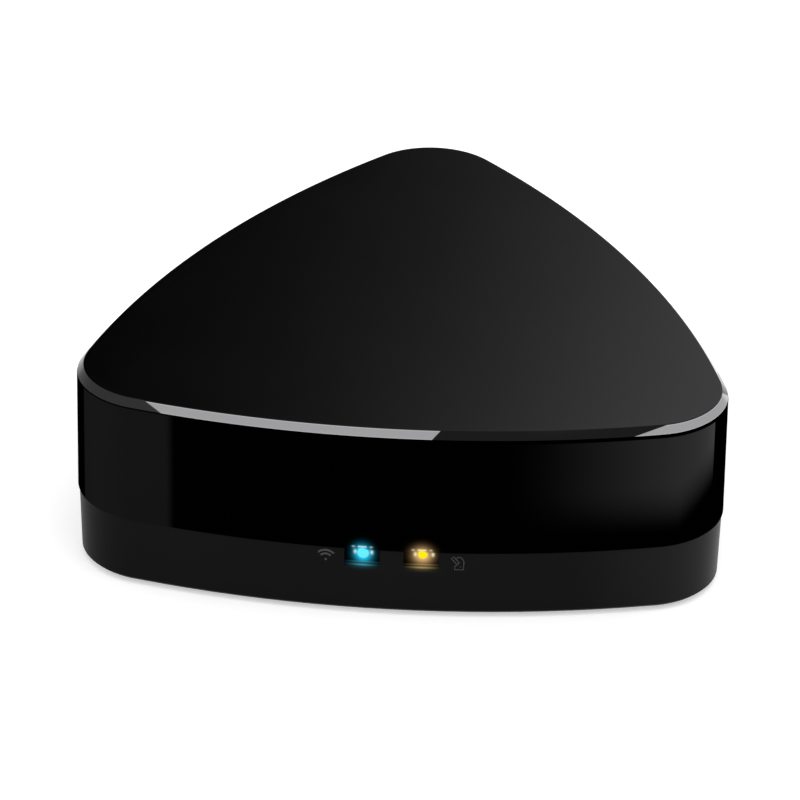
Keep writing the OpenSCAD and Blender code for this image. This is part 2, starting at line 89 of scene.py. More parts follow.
# The plate's bevel and the strips of its flat faces that the profile takes in
PLATE_BEVEL = 1.2 * MM
PLATE_INSET = 0.02 * MM
PLATE_UNDER_W = 4 * MM
PLATE_OVER_W = 5 * MM

# Roundings of the edges, and the steps of an arc
EDGE_R = 0.15 * MM
PLATE_EDGE_R = 0.05 * MM
BASE_EDGE = 0.12 * MM
PANE_EDGE = 0.08 * MM
EDGE_STEPS = 4
PLATE_EDGE_STEPS = 2

# Vertices this close are welded, faces this flat are joined, and edges past these angles are sharp
WELD = 1e-6
FLAT_ANGLE = 0.2
BASE_EDGE_ANGLE = 30
SHARP_ANGLE = 50

# Status lights: the lamps' places, and the panes of smoked plastic before them
STATUS_X = 5.4 * MM
NOTCH_H = 3.75 * MM
PANE_W = 8.9 * MM
PANE_DROP = 4.15 * MM
PANE_STEPS = 16

# A status light: its place, the colours of its painted glow, lens and metal glints and of the glow painted
# on the notch's floor, and the sizes and places of what is seen of it
Lamp = namedtuple("Lamp", "x z glow_colour lens_colour metal_colour floor_colour "
                          "glow_w lens_r line_up terminals terminals_up streak_w")
LAMPS = {
    "status_pane_network": Lamp(
        x=-STATUS_X + 0.08 * MM, z=11.85 * MM, glow_colour=(0.03, 0.88, 1.35),
        lens_colour=(0.14, 0.87, 1.0), metal_colour=(0.50, 0.80, 0.84),
        floor_colour=(0.04, 0.30, 0.38), glow_w=1.25 * MM, lens_r=1.06 * MM, line_up=1.32 * MM,
        terminals=(-1.44 * MM, 1.57 * MM), terminals_up=0.20 * MM, streak_w=1.75 * MM),
    "status_pane_remote": Lamp(
        x=STATUS_X + 0.15 * MM, z=12.1 * MM, glow_colour=(0.97, 0.60, 0.25),
        lens_colour=(1.0, 0.86, 0.004), metal_colour=(0.92, 0.78, 0.50),
        floor_colour=(0.39, 0.28, 0.11), glow_w=1.45 * MM, lens_r=0.85 * MM, line_up=0.97 * MM,
        terminals=(-1.34 * MM, 1.84 * MM), terminals_up=0.03 * MM, streak_w=1.85 * MM),
}

# What both lamps share: the painted glow's height and drop, a lens's soft edge, a terminal's size, the
# metal glints' share
GLOW_H = 1.41 * MM
GLOW_DROP = 0.2 * MM
LENS_SOFT = 0.16 * MM
TERMINAL_W = 0.28 * MM
TERMINAL_H = 0.42 * MM
METAL_SHARE = 0.95

# The lamps' bright line, a painted glint: a bar that fades at its ends, with a fainter dash on either side
BAR_FADE = (0.95 * MM, 0.60 * MM)
DASH_PLACE = 1.6 * MM
DASH_W = 0.28 * MM
DASH_SHARE = 0.6
LINE_H = 0.17 * MM

# How much higher the lamps' painted light lies on the band's foot than on the panes, and how deep the
# front is lit
PANE_RISE = 1.37 * MM
BAND_LIT = (3 * MM, 2 * MM)

# The lamps' light painted on the base: it fades out before the hub's middle, and a notch's floor is told
# by height
MIDDLE_FADE = 10 * MM
FLOOR_FROM = (-0.16 * MM, -0.04 * MM)
FLOOR_TO = (0.25 * MM, 0.10 * MM)

# Two painted lamp streaks on a notch's floor, each an inset from the band's outline and a width, and a
# faint spill
REAR_STREAK = (2.35 * MM, 0.45 * MM)
FRONT_STREAK = (1.08 * MM, 0.36 * MM)
FRONT_STREAK_SHARE = 0.8
SPILL_H = 0.45 * MM
SPILL_SHARE = 0.1

# Painted sheen of the base's right: its coat, in degrees round from the front, and above its foot
BASE_SHEEN_IN = (36, 58)
BASE_SHEEN_OUT = (110, 75)
BASE_SHEEN_FOOT = (0.1 * MM, 0.6 * MM)
BASE_SHEEN = 0.155

# Degrees over which the front side ends at its corners, and over which the painted sheen of the band ends
FRONT_FADE = 0.3
SHEEN_FADE = 0.2

# Painted sheen at the right of each side of the band, in degrees from the side's middle; the front's goes
# further
RIGHT_START = 22
RIGHT_RISE = 30
RIGHT_END = 52
RIGHT_FURTHER = 7.7
RIGHT_SHEEN = 0.37

# Painted sheen at the left of each side of the band, in the same degrees; the front's goes further too
LEFT_IN = (-64, -52)
LEFT_OUT = (-43.2, -45.0)
LEFT_END = -53
LEFT_FURTHER = -6.8
LEFT_SHEEN = 0.13

# The right painted sheen fades in by height above the rim, and stops short of the band's upper edge
SHEEN_HEIGHTS = (2.5 * MM, 14 * MM)
UPPER_EDGE = (0.45 * MM, 0.60 * MM)

# Past an angle the foot of the right painted sheen climbs by a step for each degree
LIFT_START = 53
LIFT_STEP = 1 * MM

# A painted highlight on the bevel: the degrees within which each end comes, and how each slants as it
# rises
HighlightStretch = namedtuple("HighlightStretch", "start start_slant end end_slant")
SIDE_HIGHLIGHT = HighlightStretch(start=(-45.6, -45.3), start_slant=3.6, end=(8.6, 8.3), end_slant=-2.2)
CORNER_HIGHLIGHT = HighlightStretch(start=(45.9, 46.1), start_slant=-5.9, end=(67.4, 67.1), end_slant=1.6)

# Down the bevel: where it starts, the painted dark ring below its upper edge, and its painted brighter
# rims as shares
BEVEL_START = (0.02 * MM, 0.05 * MM)
RING = (0.15 * MM, 0.11 * MM)
RIM_MIDDLE_SHARE = 0.46
RIM_SHARES = (0.34, 0.42)

# Degrees round from the front over which the bevel's painted dim reflection turns paler, to the left
PALE_LEFT = (-20, -40)

# Printed marks: how proud they stand, and their places on the base's front
PRINT_PROUD = 0.015 * MM
WIRELESS_PLACE = (-12.0 * MM, 12.0 * MM)
REMOTE_PLACE = (12.25 * MM, 11.88 * MM)

# The wireless mark: two arcs over a dot, which is a short upright stroke that is wide in its middle
ARC_STEPS = 14
WAVE_RADII = (1.21 * MM, 1.98 * MM)
WAVE_ANGLES = (42, 138)
WAVE_DROP = 0.85 * MM
WAVE_W = 0.38 * MM
DOT_HEIGHTS = (-1.15 * MM, -0.86 * MM, -0.57 * MM)
DOT_WIDTHS = [0.04 * MM, 0.52 * MM, 0.04 * MM]

# The remote mark: the outlines of a sleeve and of a handset, as shares of its size, and a button
REMOTE_SIZE = 1.08 * MM
REMOTE_W = 0.16 * MM
BUTTON_PLACE = (0.2 * MM, -0.95 * MM)
BUTTON_L = 0.15 * MM
BUTTON_W = 0.2 * MM
SLEEVE_SHARES = [(-0.75, -1.45), (0.75, -1.5), (0.85, 0.1), (0.45, 0.9), (-0.2, 1.05), (-0.45, 0.5),
                 (0.1, -0.1), (-0.35, -0.55), (-0.65, -0.75)]
HANDSET_SHARES = [(-1.3, 0.75), (-0.95, 1.1), (0.0, 0.0), (-0.4, -0.35)]

# Grain of a moulded finish: how much it varies the roughness, and its depth
GRAIN_ROUGH = 0.12
GRAIN_DEPTH = 0.02 * MM
BASE_GRAIN_DEPTH = 0.03 * MM

# Where the camera stands: fitted to the photograph's outline
EYE = Vector((65.040, -1015.590, 591.075)) * MM
AZIMUTH = math.radians(3.8105)
ELEVATION = math.radians(29.5855)
ROLL = math.radians(0.9859)
LENS_MM = 278.4
SENSOR_MM = 36.0
FRAME_SHIFT = (-0.0005, 0.0013)

# Light of the studio: its sky, its softbox, and its floor, which is lifted where it is seen or mirrored
PALE_SKY = 0.85
SOFTBOX_PLACE = Vector((0.25, -0.25, 0.95))
SOFTBOX_SIDE = 0.7
SOFTBOX_RADIANCE = 1.0
FLOOR_LIFT = 0.45
FLOOR_HALF = 6.0

# The dark flag in the sky behind the hub: degrees to the left of straight behind, and heights as sines
FLAG_RIGHT = (-16, -10)
FLAG_LEFT = (75, 50)
FLAG_FOOT = (0.26, 0.34)
FLAG_TOP = (0.72, 0.62)

# How the flag fades out to its right: paler by a share for each degree and for each step up
FADE_START = 1.04
FADE_DEGREE = 0.125
FADE_UP = 4.0
FADE_HEIGHT = 0.49
FADE_LEAST = 0.05
FADE_POWER = 3.3


class Value:
    """A node socket that takes part in Python arithmetic."""

    def __init__(self, graph, socket):
        self.graph = graph
        self.socket = socket

    def math(self, operation, *others):
        """An operation on this value and others, as a Math node."""
        values = dict(enumerate((self, *others)))
        return self.graph.add("ShaderNodeMath", {"operation": operation}, values)

    def __add__(self, other):
        return self.math("ADD", other)

    def __radd__(self, other):
        return self.math("ADD", other)

    def __sub__(self, other):
        return self.math("SUBTRACT", other)

    def __rsub__(self, other):
        return (self * -1) + other

    def __mul__(self, other):
        return self.math("MULTIPLY", other)

    def __rmul__(self, other):
        return self.math("MULTIPLY", other)

    def __truediv__(self, other):
        return self.math("DIVIDE", other)

    def __pow__(self, other):
        return self.math("POWER", other)

    def __neg__(self):
        return self * -1


class Graph:
    """A node tree, shader or geometry, that is written as expressions."""

    def __init__(self, tree):
        self.tree = tree

    def add(self, kind, settings=None, values=None, out=0):
        """A node of a kind, with its settings and its sockets' values, as one of its outputs."""
        node = self.tree.nodes.new(kind)
        for name, setting in (settings or {}).items():
            setattr(node, name, setting)
        for name, value in (values or {}).items():
            self.feed(value, node.inputs[name])
        return Value(self, node.outputs[out])

    def feed(self, value, socket):
        """Links a value to a socket, or sets the socket to a constant."""
        if isinstance(value, Value):
            self.tree.links.new(value.socket, socket)
        elif isinstance(value, tuple) and socket.type == "RGBA":
            socket.default_value = (*value, 1.0)
        else:
            socket.default_value = value

    def split(self, vector):
        """A vector's x, y and z."""
        parts = self.add("ShaderNodeSeparateXYZ", values={0: vector})
        return [Value(self, parts.socket.node.outputs[axis]) for axis in "XYZ"]

    def place(self):
        """Object coordinates, whole and as x, y and z."""
        where = self.add("ShaderNodeTexCoord", out="Object")
        return [where, *self.split(where)]

    def mix(self, share, a, b):
        """Colour a at a share of 0, and colour b at 1."""
        return self.add("ShaderNodeMix", {"data_type": "RGBA"}, {0: share, 6: a, 7: b}, out=2)

    def plus(self, share, a, b):
        """Colour a with a share of colour b added."""
        settings = {"data_type": "RGBA", "blend_type": "ADD"}
        return self.add("ShaderNodeMix", settings, {0: share, 6: a, 7: b}, out=2)

    def ramp(self, value, start, end):
        """0 before start, 1 past end, and smooth between them."""
        settings = {"interpolation_type": "SMOOTHSTEP"}
        return self.add("ShaderNodeMapRange", settings,
                        {"Value": value, "From Min": start, "From Max": end})

    def noise(self, where, scale, detail):
        return self.add("ShaderNodeTexNoise", None,
                        {"Vector": where, "Scale": scale, "Detail": detail})

    def bump(self, height, strength, depth):
        return self.add("ShaderNodeBump", None,
                        {"Height": height, "Strength": strength, "Distance": depth})

    def hill(self, distance, width):
        """A bell of height 1 that falls off over a width."""
        return ((distance / width) ** 2 * -1).math("EXPONENT")


def finish_of(name, build, **constants):
    """A material: constants are set on the shader's sockets, and build gives its varying inputs."""
    material = bpy.data.materials.new(name)
    material.use_nodes = True
    shader = material.node_tree.nodes["Principled BSDF"]
    for socket, value in constants.items():
        shader.inputs[socket.replace("_", " ")].default_value = value
    graph = Graph(material.node_tree)
    for socket, value in build(graph).items():
        graph.feed(value, shader.inputs[socket])
    return material


def side_angle(x, y):
    """Angle from the middle of the nearest side, in degrees: the corners lie at 60 and -60."""
    from_front = (y - MIDDLE_Y).math("ARCTAN2", x) * math.degrees(1) + 90
    return (from_front + THIRD / 2 + 3 * THIRD).math("MODULO", THIRD) - THIRD / 2


def front_angle(x, y):
    """Angle from the middle of the front, in degrees, positive to the right."""
    return x.math("ARCTAN2", -(y - MIDDLE_Y)) * math.degrees(1)


def lamp_light(graph, lamp, x, z):
    """Painted light of a lamp behind smoked plastic: its glow, its lens, two glinting terminals and a
    bright line.
    """
    dx = x - lamp.x
    dz = z - lamp.z
    reach = dx.math("ABSOLUTE")
    glow = graph.hill(dx, lamp.glow_w) * graph.hill(dz + GLOW_DROP, GLOW_H)
    lens = graph.ramp((dx * dx + dz * dz) ** 0.5, lamp.lens_r + LENS_SOFT, lamp.lens_r - LENS_SOFT)
    left, right = (graph.hill(dx - place, TERMINAL_W) for place in lamp.terminals)
    line = graph.ramp(reach, *BAR_FADE) + graph.hill(reach - DASH_PLACE, DASH_W) * DASH_SHARE
    metal = ((left + right) * graph.hill(dz - lamp.terminals_up, TERMINAL_H)
             + line * graph.hill(dz - lamp.line_up, LINE_H))
    light = graph.mix(glow, BLACK, lamp.glow_colour)
    light = graph.mix(lens, light, lamp.lens_colour)
    return graph.mix(metal.math("MINIMUM", METAL_SHARE), light, lamp.metal_colour)


def base_finish():
    """Satin black with a painted sheen to the right, and the lamps' light painted on the floor of each
    notch.
    """
    def build(graph):
        where, x, y, z = graph.place()
        grain = graph.noise(where, scale=2600, detail=3)
        cloud = graph.noise(where, scale=60, detail=2)
        turn = front_angle(x, y)
        # Painted sheen: a coat laid on only at the base's right, where it shows the floor's reflection
        on_wall = graph.ramp(z, BASE_LOW.z + BASE_SHEEN_FOOT[0], BASE_LOW.z + BASE_SHEEN_FOOT[1])
        sheen = graph.ramp(turn, *BASE_SHEEN_IN) * graph.ramp(turn, *BASE_SHEEN_OUT) * on_wall
        front = graph.ramp(y, MIDDLE_Y, MIDDLE_Y - MIDDLE_FADE)
        back = y - (MIDDLE_Y + SIDE_DISTANCE)
        inset = SIDE_R - (x * x + back * back) ** 0.5
        foot = z - (Z_RIM - NOTCH_H)
        on_floor = graph.ramp(foot, *FLOOR_FROM) * graph.ramp(foot, *FLOOR_TO)
        streaks = (graph.hill(inset - REAR_STREAK[0], REAR_STREAK[1])
                   + graph.hill(inset - FRONT_STREAK[0], FRONT_STREAK[1]) * FRONT_STREAK_SHARE)
        spill = graph.hill(foot, SPILL_H) * SPILL_SHARE
        # The lamps' light, painted on the notch floors as glowing colour
        light = BLACK
        for lamp in LAMPS.values():
            light = graph.plus(graph.hill(x - lamp.x, lamp.streak_w), light, lamp.floor_colour)
        return {
            "Base Color": graph.mix(cloud, (0.0062, 0.0062, 0.0065), (0.0077, 0.0077, 0.0081)),
            "Roughness": 0.32 + GRAIN_ROUGH * grain,
            "Coat Weight": sheen * BASE_SHEEN,
            "Emission Color": graph.mix(front * (on_floor * streaks + spill), BLACK, light),
            "Normal": graph.bump(grain, strength=0.12, depth=BASE_GRAIN_DEPTH),
        }
    return finish_of("satin_black_base_painted_sheen_and_lamp_glow", build, Specular_IOR_Level=0.025, Coat_Roughness=0.25,
                     Emission_Strength=1.0)


def window_finish():
    """Smoked plastic with a sheen painted towards the corners, and clear black between them."""
    def build(graph):
        where, x, y, z = graph.place()
        angle = side_angle(x, y)
        turn = front_angle(x, y)
        on_front = graph.ramp(turn.math("ABSOLUTE"), THIRD / 2 + FRONT_FADE, THIRD / 2)
        haze = graph.noise(where, scale=35, detail=1)
        # Painted sheen: a coat laid on by angle round the band, where it shows the floor's reflection
        right_end = RIGHT_END + RIGHT_FURTHER * on_front
        left_end = LEFT_END + LEFT_FURTHER * on_front
        rise = ((angle - RIGHT_START) / RIGHT_RISE).math("MAXIMUM", 0).math("MINIMUM", 1) ** 2
        lifted = (angle - LIFT_START).math("MAXIMUM", 0) * LIFT_STEP
        low = graph.ramp(z - Z_RIM - lifted, *SHEEN_HEIGHTS)
        edge = graph.ramp(z, Z_SHELL_TOP - UPPER_EDGE[0], Z_SHELL_TOP - UPPER_EDGE[1])
        right = rise * edge * graph.ramp(angle, right_end + SHEEN_FADE, right_end)
        left = (graph.ramp(angle, *LEFT_IN) * graph.ramp(angle, *LEFT_OUT)
                * graph.ramp(angle, left_end - SHEEN_FADE, left_end))
        front = graph.ramp(y, WINDOW_LOW.y + BAND_LIT[0], WINDOW_LOW.y + BAND_LIT[1])
        # The lamps' light, painted on the band's foot as glowing colour
        light = BLACK
        for lamp in LAMPS.values():
            light = graph.plus(1.0, light, lamp_light(graph, lamp, x, z - PANE_RISE))
        return {
            "Base Color": graph.mix(haze, (0.0001, 0.0001, 0.0001), (0.0002, 0.0002, 0.0002)),
            "Roughness": 0.03 + 0.03 * haze,
            "Coat Weight": right * low * RIGHT_SHEEN + left * LEFT_SHEEN,
            "Emission Color": graph.mix(front, BLACK, light),
        }
    return finish_of("smoked_window_painted_sheen_and_lamp_glow", build, Specular_IOR_Level=0.0, Coat_Roughness=0.04,
                     Emission_Strength=1.0)


def along(graph, angle, rise, stretch):
    """1 on a stretch of the bevel's painted highlight and 0 outside it."""
    return (graph.ramp(angle + stretch.start_slant * rise, *stretch.start)
            * graph.ramp(angle + stretch.end_slant * rise, *stretch.end))


def plate_finish():
    """Polished black top; highlights are painted on its bevel over stretches that end on a slant."""
    def build(graph):
        where, x, y, z = graph.place()
        polish = graph.noise(where, scale=45, detail=2)
        bevel = graph.ramp(z, Z_TOP - BEVEL_START[0], Z_TOP - BEVEL_START[1])
        rise = (z - Z_PLATE) / (Z_TOP - Z_PLATE)
        turn = front_angle(x, y)
        # Painted highlights, brighter rims, a dark ring and a dim reflection, as the colour of the bevel's
        # metal
        sides = along(graph, side_angle(x, y), rise, SIDE_HIGHLIGHT)
        painted_highlight = (sides + along(graph, turn, rise, CORNER_HIGHLIGHT)).math("MINIMUM", 1)
        rim = graph.ramp((rise - RIM_MIDDLE_SHARE).math("ABSOLUTE"), *RIM_SHARES)
        ring = graph.ramp(z, Z_TOP - RING[0], Z_TOP - RING[1])
        painted_dim_reflection = graph.mix(graph.ramp(turn, *PALE_LEFT), (0.0125, 0.0125, 0.013), (0.036, 0.036, 0.037))
        shine = graph.mix(rim, (0.40, 0.40, 0.41), (0.54, 0.54, 0.55))
        cut = graph.mix(painted_highlight, painted_dim_reflection, graph.mix(ring, shine, (0.001, 0.001, 0.001)))
        return {
            "Base Color": graph.mix(bevel, (0.0009, 0.0009, 0.001), cut),
            "Roughness": 0.10 + 0.04 * polish,
            "Metallic": bevel,
        }
    return finish_of("polished_plate_painted_bevel_highlights", build, Specular_IOR_Level=0.28)


def pane_finish(name, lamp):
    """Smoked pane with the lamp behind it painted on as glowing colour."""
    def build(graph):
        where, x, _, z = graph.place()
        ripple = graph.noise(where, scale=900, detail=2)
        return {"Base Color": graph.mix(ripple, (0.0005, 0.0005, 0.0005), (0.001, 0.001, 0.001)),
                "Roughness": 0.06 + 0.04 * ripple,
                "Emission Color": lamp_light(graph, lamp, x, z)}
    return finish_of(name, build, Specular_IOR_Level=0.0, Emission_Strength=1.0)


def moulded(name, dark, light, roughness, grain=900, **constants):
    """A plain moulded, printed or plated finish with fine grain."""
    def build(graph):
        where = graph.place()[0]
        cloud = graph.noise(where, scale=120, detail=3)
        fine = graph.noise(where, scale=grain, detail=2)
        return {"Base Color": graph.mix(cloud, dark, light),
                "Roughness": roughness - GRAIN_ROUGH / 2 + GRAIN_ROUGH * fine,
                "Normal": graph.bump(fine, strength=0.15, depth=GRAIN_DEPTH)}
    return finish_of(name, build, **constants)


def front_y(x, inset):
    """The front side's place at an x, for a given inset from the window band's outline."""
    return MIDDLE_Y + SIDE_DISTANCE - math.sqrt((SIDE_R - inset) ** 2 - x * x)


def show(name, mesh, material):
    """Puts a finished mesh in the scene as a piece of the housing."""
    piece = bpy.data.objects.new(name, mesh)
    bpy.context.scene.collection.objects.link(piece)
    mesh.materials.clear()
    mesh.materials.append(material)
    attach(piece, HOUSING)
    return piece


def mesh_of(name, bm):
    """A new mesh from a bmesh, which is freed."""
    mesh = bpy.data.meshes.new(name)
    bm.to_mesh(mesh)
    bm.free()
    return mesh


@contextmanager
def opened(mesh):
    """A mesh opened for changes, which are written back to it at the end."""
    bm = bmesh.new()
    bm.from_mesh(mesh)
    yield bm
    bm.to_mesh(mesh)
    bm.free()


def smooth_mesh(mesh, sharp_degrees=SHARP_ANGLE):
    """Smooth shading that stops at edges sharper than an angle."""
    limit = math.radians(sharp_degrees)
    with opened(mesh) as bm:
        for face in bm.faces:
            face.smooth = True
        for edge in bm.edges:
            edge.smooth = len(edge.link_faces) == 2 and edge.calc_face_angle() < limit


def carrier_of(source):
    """A passing object that holds a mesh while modifiers work on it."""
    carrier = bpy.data.objects.new("carrier", source)
    bpy.context.scene.collection.objects.link(carrier)
    return carrier


def plain_mesh(carrier):
    """The plain mesh that a carrier becomes under its modifiers. The carrier goes."""
    bpy.context.view_layer.update()
    evaluated = carrier.evaluated_get(bpy.context.evaluated_depsgraph_get())
    mesh = bpy.data.meshes.new_from_object(evaluated)
    bpy.data.objects.remove(carrier)
    return mesh


def modified(source, modifiers):
    """The plain mesh that a mesh becomes under a list of modifiers, each a type and its settings."""
    carrier = carrier_of(source)
    for kind, settings in modifiers:
        modifier = carrier.modifiers.new(kind.lower(), kind)
        for name, value in settings.items():
            setattr(modifier, name, value)
    return plain_mesh(carrier)


KEEP_FLATS = ("WEIGHTED_NORMAL", {"mode": "FACE_AREA", "weight": 100, "keep_sharp": True})


def new_tree(name, inputs):
    """The graph of a new geometry tree with named inputs, and a value for each input."""
    tree = bpy.data.node_groups.new(name, "GeometryNodeTree")
    for label, kind in inputs.items():
        tree.interface.new_socket(label, in_out="INPUT", socket_type=kind)
    tree.interface.new_socket("Made", in_out="OUTPUT", socket_type="NodeSocketGeometry")
    graph = Graph(tree)
    entry = tree.nodes.new("NodeGroupInput")
    return graph, {label: Value(graph, entry.outputs[label]) for label in inputs}


def end_tree(graph, made, material):
    """The finished tree: instances made real, given a material, and sent to its output."""
    real = graph.add("GeometryNodeRealizeInstances", None, {"Geometry": made})
    coated = graph.add("GeometryNodeSetMaterial", None, {"Geometry": real, "Material": material})
    leave = graph.tree.nodes.new("NodeGroupOutput")
    graph.tree.links.new(coated.socket, leave.inputs[0])
    return graph.tree


def run_tree(source, tree, settings):
    """The plain mesh that a geometry tree makes of a source mesh."""
    carrier = carrier_of(source)
    modifier = carrier.modifiers.new("tree", "NODES")
    modifier.node_group = tree
    for item in tree.interface.items_tree:
        if item.in_out == "INPUT" and item.name in settings:
            modifier[item.identifier] = settings[item.name]
    return plain_mesh(carrier)


def sweep_tree():
    """A tree that runs a profile round the rounded triangle. A profile point is (inset, 0, height)."""
    graph, given = new_tree("rounded_triangle_sweep", {
        "Profile": "NodeSocketGeometry", "Corner Distance": "NodeSocketFloat",
        "Corner Radius": "NodeSocketFloat", "Side Distance": "NodeSocketFloat",
        "Middle Y": "NodeSocketFloat", "Corner Steps": "NodeSocketInt",
        "Side Steps": "NodeSocketInt", "Material": "NodeSocketMaterial"})
    corner_d, corner_r = given["Corner Distance"], given["Corner Radius"]
    side_d = given["Side Distance"]
    corner_steps, side_steps = given["Corner Steps"], given["Side Steps"]

    # Radius of the sides, and the half angles that a side's arc and a corner's arc turn through
    along_d = corner_d * math.sin(math.radians(60))
    back_d = side_d + corner_d * 0.5
    side_r = (along_d * along_d + back_d * back_d) ** 0.5 + corner_r
    half_side = along_d.math("ARCTAN2", back_d)
    half_corner = math.radians(60) - half_side

    # Each grid point's step round the outline and its row of the profile; the nudge steadies the floors
    nudge = 0.0001
    rows = graph.add("GeometryNodeAttributeDomainSize", {"component": "MESH"},
                     {0: given["Profile"]}, out="Point Count")
    steps = corner_steps + side_steps
    columns = steps * 3 + 1
    grid = graph.add("GeometryNodeMeshGrid", None, {"Vertices X": columns, "Vertices Y": rows})
    index = graph.add("GeometryNodeInputIndex")
    column = (index / rows + nudge).math("FLOOR")
    row = index - column * rows
    third = (column / steps + nudge).math("FLOOR")
    step = column - third * steps
    on_corner = step.math("GREATER_THAN", side_steps - 0.5)

    # The arc's centre and radius, and the direction from it to the point
    side_turn = step / side_steps * half_side * 2 - half_side
    corner_turn = (step - side_steps) / corner_steps * half_corner * 2 + half_side
    facing = third * math.radians(120) + math.radians(270)
    turn = facing + side_turn * (1 - on_corner) + corner_turn * on_corner
    centre_turn = facing + (math.pi - on_corner * math.radians(120))
    centre_d = side_d * (1 - on_corner) + corner_d * on_corner
    radius = side_r * (1 - on_corner) + corner_r * on_corner

    position = graph.add("GeometryNodeInputPosition")
    sample = graph.add("GeometryNodeSampleIndex", {"data_type": "FLOAT_VECTOR"},
                       {"Geometry": given["Profile"], "Value": position, "Index": row})
    inset, _, height = graph.split(sample)
    reach = radius - inset
    place = graph.add("ShaderNodeCombineXYZ", values={
        "X": centre_d * centre_turn.math("COSINE") + reach * turn.math("COSINE"),
        "Y": centre_d * centre_turn.math("SINE") + reach * turn.math("SINE") + given["Middle Y"],
        "Z": height})
    moved = graph.add("GeometryNodeSetPosition", None, {"Geometry": grid, "Position": place})
    welded = graph.add("GeometryNodeMergeByDistance", None, {"Geometry": moved, "Distance": WELD})
    return end_tree(graph, welded, given["Material"])


def swept(profile, material):
    """A profile of (inset, height) points run round the outline, with its open ends capped."""
    source = bpy.data.meshes.new("profile")
    rows = [(inset, 0.0, height) for inset, height in profile]
    source.from_pydata(rows, [(n, n + 1) for n in range(len(rows) - 1)], [])
    mesh = run_tree(source, SWEEP, {
        "Corner Distance": CORNER_DISTANCE, "Corner Radius": CORNER_R,
        "Side Distance": SIDE_DISTANCE, "Middle Y": MIDDLE_Y,
        "Corner Steps": CORNER_STEPS, "Side Steps": SIDE_STEPS, "Material": material})
    with opened(mesh) as bm:
        bmesh.ops.holes_fill(bm, edges=[e for e in bm.edges if e.is_boundary], sides=0)
        bmesh.ops.recalc_face_normals(bm, faces=bm.faces)
    smooth_mesh(mesh)
    return modified(mesh, [KEEP_FLATS])


def rounded(points, radius, steps=EDGE_STEPS):
    """A profile with each inner corner turned into an arc of a radius."""
    path = [Vector(p) for p in points]
    done = [path[0]]
    for before, corner, after in zip(path, path[1:], path[2:]):
        a, b = (before - corner).normalized(), (after - corner).normalized()
        half = math.acos(max(-1.0, min(1.0, a.dot(b)))) / 2
        cut = min(radius / math.tan(half), (before - corner).length / 2, (after - corner).length / 2)
        r = cut * math.tan(half)
        centre = corner + (a + b).normalized() * r / math.sin(half)
        start, end = corner + a * cut - centre, corner + b * cut - centre
        turn = start.angle_signed(end)
        for n in range(steps + 1):
            done.append(centre + Matrix.Rotation(-turn * n / steps, 2) @ start)
    done.append(path[-1])
    return [tuple(p) for p in done]


def window_band():
    """The smoked band with the edge of its deck and its locating lip; returns its finish."""
    lip_in = LIP_INSET + LIP_T
    profile = rounded([
        (BAND_T, Z_SHELL_TOP - DECK_T), (BAND_T, Z_RIM + LIP_T), (lip_in, Z_RIM + LIP_T),
        (lip_in, Z_RIM - LIP_H), (LIP_INSET, Z_RIM - LIP_H), (LIP_INSET, Z_RIM),
        (0, Z_RIM), (0, Z_SHELL_TOP), (DECK_EDGE_W, Z_SHELL_TOP)], EDGE_R)
    material = window_finish()
    band = show("window_band", swept(profile, material), material)
    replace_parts(band, "window_shell")
    return material


def screw_towers(material):
    """The three towers under the deck that the case screws enter."""
    graph, given = new_tree("towers_on_corners", {
        "Anchor": "NodeSocketGeometry", "Corner Distance": "NodeSocketFloat",
        "Tower Radius": "NodeSocketFloat", "Tower Height": "NodeSocketFloat",
        "Material": "NodeSocketMaterial"})
    corners = graph.add("GeometryNodeMeshCircle", None,
                        {"Vertices": 3, "Radius": given["Corner Distance"]})
    tower = graph.add("GeometryNodeMeshCylinder", None, {
        "Vertices": TOWER_STEPS, "Radius": given["Tower Radius"], "Depth": given["Tower Height"]})
    stood = graph.add("GeometryNodeInstanceOnPoints", None, {"Points": corners, "Instance": tower})
    height = Z_SHELL_TOP - DECK_T - TOWER_FOOT_Z
    mesh = run_tree(bpy.data.meshes.new("anchor"), end_tree(graph, stood, given["Material"]), {
        "Corner Distance": CORNER_DISTANCE, "Tower Radius": TOWER_R, "Tower Height": height,
        "Material": material})
    mesh.transform(Matrix.Translation((0, MIDDLE_Y, TOWER_FOOT_Z + height / 2))
                   @ Matrix.Rotation(math.radians(90), 4, "Z"))
    smooth_mesh(mesh)
    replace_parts(show("screw_towers", mesh, material), "window_shell")


def plate():
    """The top plate with its polished bevel."""
    profile = rounded([(PLATE_UNDER_W, Z_PLATE), (PLATE_INSET, Z_PLATE), (PLATE_BEVEL, Z_TOP),
                       (PLATE_OVER_W, Z_TOP)], PLATE_EDGE_R, PLATE_EDGE_STEPS)
    material = plate_finish()
    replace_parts(show("polished_plate_painted_bevel_highlights", swept(profile, material), material),
                "top_plate")


def base():
    """The base tray with its edges slightly rounded."""
    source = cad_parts["base_shell"].data.copy()
    with opened(source) as bm:
        bmesh.ops.remove_doubles(bm, verts=bm.verts, dist=WELD)
        bmesh.ops.dissolve_limit(bm, angle_limit=math.radians(FLAT_ANGLE), verts=bm.verts,
                                 edges=bm.edges)
    smooth_mesh(source, BASE_EDGE_ANGLE)
    mesh = modified(source, [
        ("BEVEL", {"width": BASE_EDGE, "segments": 2, "limit_method": "ANGLE",
                   "angle_limit": math.radians(BASE_EDGE_ANGLE), "harden_normals": False,
                   "use_clamp_overlap": True, "miter_outer": "MITER_ARC"})])
    smooth_mesh(mesh)
    mesh = modified(mesh, [KEEP_FLATS])
    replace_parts(show("base_tray", mesh, base_finish()), "base_shell")


